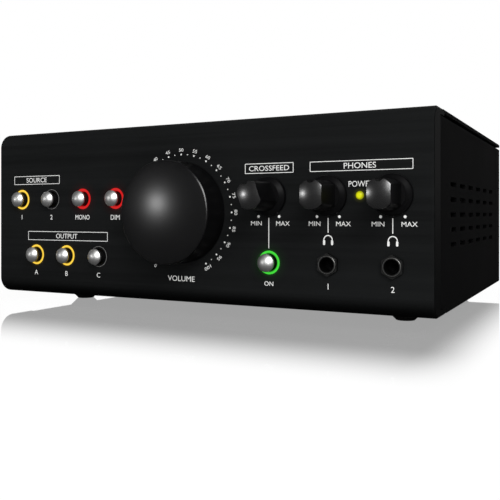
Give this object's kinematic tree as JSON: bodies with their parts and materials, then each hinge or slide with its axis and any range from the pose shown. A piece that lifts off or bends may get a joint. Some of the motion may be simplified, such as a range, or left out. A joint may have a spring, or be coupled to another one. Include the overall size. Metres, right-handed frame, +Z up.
{
  "type": "studio monitor controller",
  "caption": "Desk-top studio monitor controller with a large volume knob, small level knobs, ringed push buttons, headphone jacks and slotted sides.",
  "frame": {"origin": "on the table, under the middle of the whole outline, knobs and rear sockets included", "axes": "+X to the right seen from the front, +Y from the front panel to the rear panel, +Z up"},
  "size_m": [0.237, 0.2084, 0.0927],
  "materials": {
    "bezel_anodised": "brushed black anodised",
    "case_paint": "fine satin black",
    "foot_rubber": "matte",
    "black_screw": "black oxide",
    "bright_steel": "zinc plated",
    "circuit_board": "solder mask",
    "can_sleeve": "shrink sleeve",
    "sink_metal": "black anodised",
    "chip_plastic": "moulded",
    "ribbon_sleeve": "flat cable",
    "pot_metal": "tinned",
    "shaft_metal": "turned",
    "knob_plastic": "satin black",
    "button_silver": "silver metallic",
    "amber_ring": "lit amber",
    "red_ring": "lit red",
    "green_ring": "lit green",
    "clear_ring": "unlit smoked",
    "lamp_chip": "moulded",
    "lamp_yellow": "lit yellow",
    "jack_metal": "nickel plated",
    "connector_plastic": "moulded"
  },
  "bodies": {
    "case": {"amber_rings": "amber_ring", "amplifier_chips": "chip_plastic", "bezel_screws": "black_screw", "capacitors": "can_sleeve", "chassis_tray": "case_paint", "clear_rings": "clear_ring", "control_board": "circuit_board", "control_screws": "bright_steel", "control_spacers": "bright_steel", "cover_screws": "black_screw", "foot_screws": "black_screw", "front_bezel": "bezel_anodised", "front_ribbon": "ribbon_sleeve", "green_rings": "green_ring", "heat_sink": "sink_metal", "jack_board": "circuit_board", "jack_nuts": "jack_metal", "level_pots": "pot_metal", "main_board": "circuit_board", "main_board_screws": "bright_steel", "main_standoffs": "bright_steel", "phones_jacks": "chip_plastic", "phones_sleeves": "jack_metal", "phono_sockets": "connector_plastic", "pot_nuts": "bright_steel", "power_inlet": "connector_plastic", "power_lamp": "lamp_yellow", "push_switches": "chip_plastic", "rear_jacks": "chip_plastic", "rear_panel": "case_paint", "rear_ribbon": "ribbon_sleeve", "rear_screws": "black_screw", "rear_sleeves": "jack_metal", "red_rings": "red_ring", "regulator": "chip_plastic", "relays": "chip_plastic", "ribbon_headers": "chip_plastic", "ring_lamps": "lamp_chip", "rocker_switch": "chip_plastic", "rubber_feet": "foot_rubber", "top_cover": "case_paint", "usb_socket": "pot_metal", "volume_pot": "pot_metal"},
    "volume_dial": {"volume_knob": "knob_plastic", "volume_shaft": "shaft_metal"},
    "crossfeed_dial": {"crossfeed_knob": "knob_plastic", "crossfeed_shaft": "shaft_metal"},
    "phones_1_dial": {"phones_1_knob": "knob_plastic", "phones_1_shaft": "shaft_metal"},
    "phones_2_dial": {"phones_2_knob": "knob_plastic", "phones_2_shaft": "shaft_metal"},
    "source_1_key": {"source_1_button": "button_silver"},
    "source_2_key": {"source_2_button": "button_silver"},
    "mono_key": {"mono_button": "button_silver"},
    "dim_key": {"dim_button": "button_silver"},
    "output_a_key": {"output_a_button": "button_silver"},
    "output_b_key": {"output_b_button": "button_silver"},
    "output_c_key": {"output_c_button": "button_silver"},
    "crossfeed_key": {"crossfeed_button": "button_silver"},
    "mains_rocker": {"power_rocker": "connector_plastic"}
  },
  "joints": [
    {"name": "volume_turn", "type": "hinge", "parent": "case", "child": "volume_dial", "pos_m": [0, -0.08425, 0.0497], "axis": [0, 1, 0], "range_deg": [0, 300]},
    {"name": "crossfeed_turn", "type": "hinge", "parent": "case", "child": "crossfeed_dial", "pos_m": [0.046, -0.08425, 0.0567], "axis": [0, 1, 0], "range_deg": [-130, 170]},
    {"name": "phones_1_turn", "type": "hinge", "parent": "case", "child": "phones_1_dial", "pos_m": [0.0739, -0.08425, 0.0567], "axis": [0, 1, 0], "range_deg": [-150, 150]},
    {"name": "phones_2_turn", "type": "hinge", "parent": "case", "child": "phones_2_dial", "pos_m": [0.1018, -0.08425, 0.0567], "axis": [0, 1, 0], "range_deg": [-150, 150]},
    {"name": "source_1_press", "type": "slide", "parent": "case", "child": "source_1_key", "axis": [0, 1, 0], "range_m": [0, 0.0012], "stiffness_N_per_m": 800, "springref_m": -0.0004},
    {"name": "source_2_press", "type": "slide", "parent": "case", "child": "source_2_key", "axis": [0, 1, 0], "range_m": [0, 0.0012], "stiffness_N_per_m": 800, "springref_m": -0.0004},
    {"name": "mono_press", "type": "slide", "parent": "case", "child": "mono_key", "axis": [0, 1, 0], "range_m": [0, 0.0012], "stiffness_N_per_m": 800, "springref_m": -0.0004},
    {"name": "dim_press", "type": "slide", "parent": "case", "child": "dim_key", "axis": [0, 1, 0], "range_m": [0, 0.0012], "stiffness_N_per_m": 800, "springref_m": -0.0004},
    {"name": "output_a_press", "type": "slide", "parent": "case", "child": "output_a_key", "axis": [0, 1, 0], "range_m": [0, 0.0012], "stiffness_N_per_m": 800, "springref_m": -0.0004},
    {"name": "output_b_press", "type": "slide", "parent": "case", "child": "output_b_key", "axis": [0, 1, 0], "range_m": [0, 0.0012], "stiffness_N_per_m": 800, "springref_m": -0.0004},
    {"name": "output_c_press", "type": "slide", "parent": "case", "child": "output_c_key", "axis": [0, 1, 0], "range_m": [0, 0.0012], "stiffness_N_per_m": 800, "springref_m": -0.0004},
    {"name": "crossfeed_press", "type": "slide", "parent": "case", "child": "crossfeed_key", "axis": [0, 1, 0], "range_m": [0, 0.0012], "stiffness_N_per_m": 800, "springref_m": -0.0004},
    {"name": "power_tilt", "type": "hinge", "parent": "case", "child": "mains_rocker", "pos_m": [0.096, 0.09615, 0.0567], "axis": [1, 0, 0], "range_deg": [0, 20]}
  ]
}
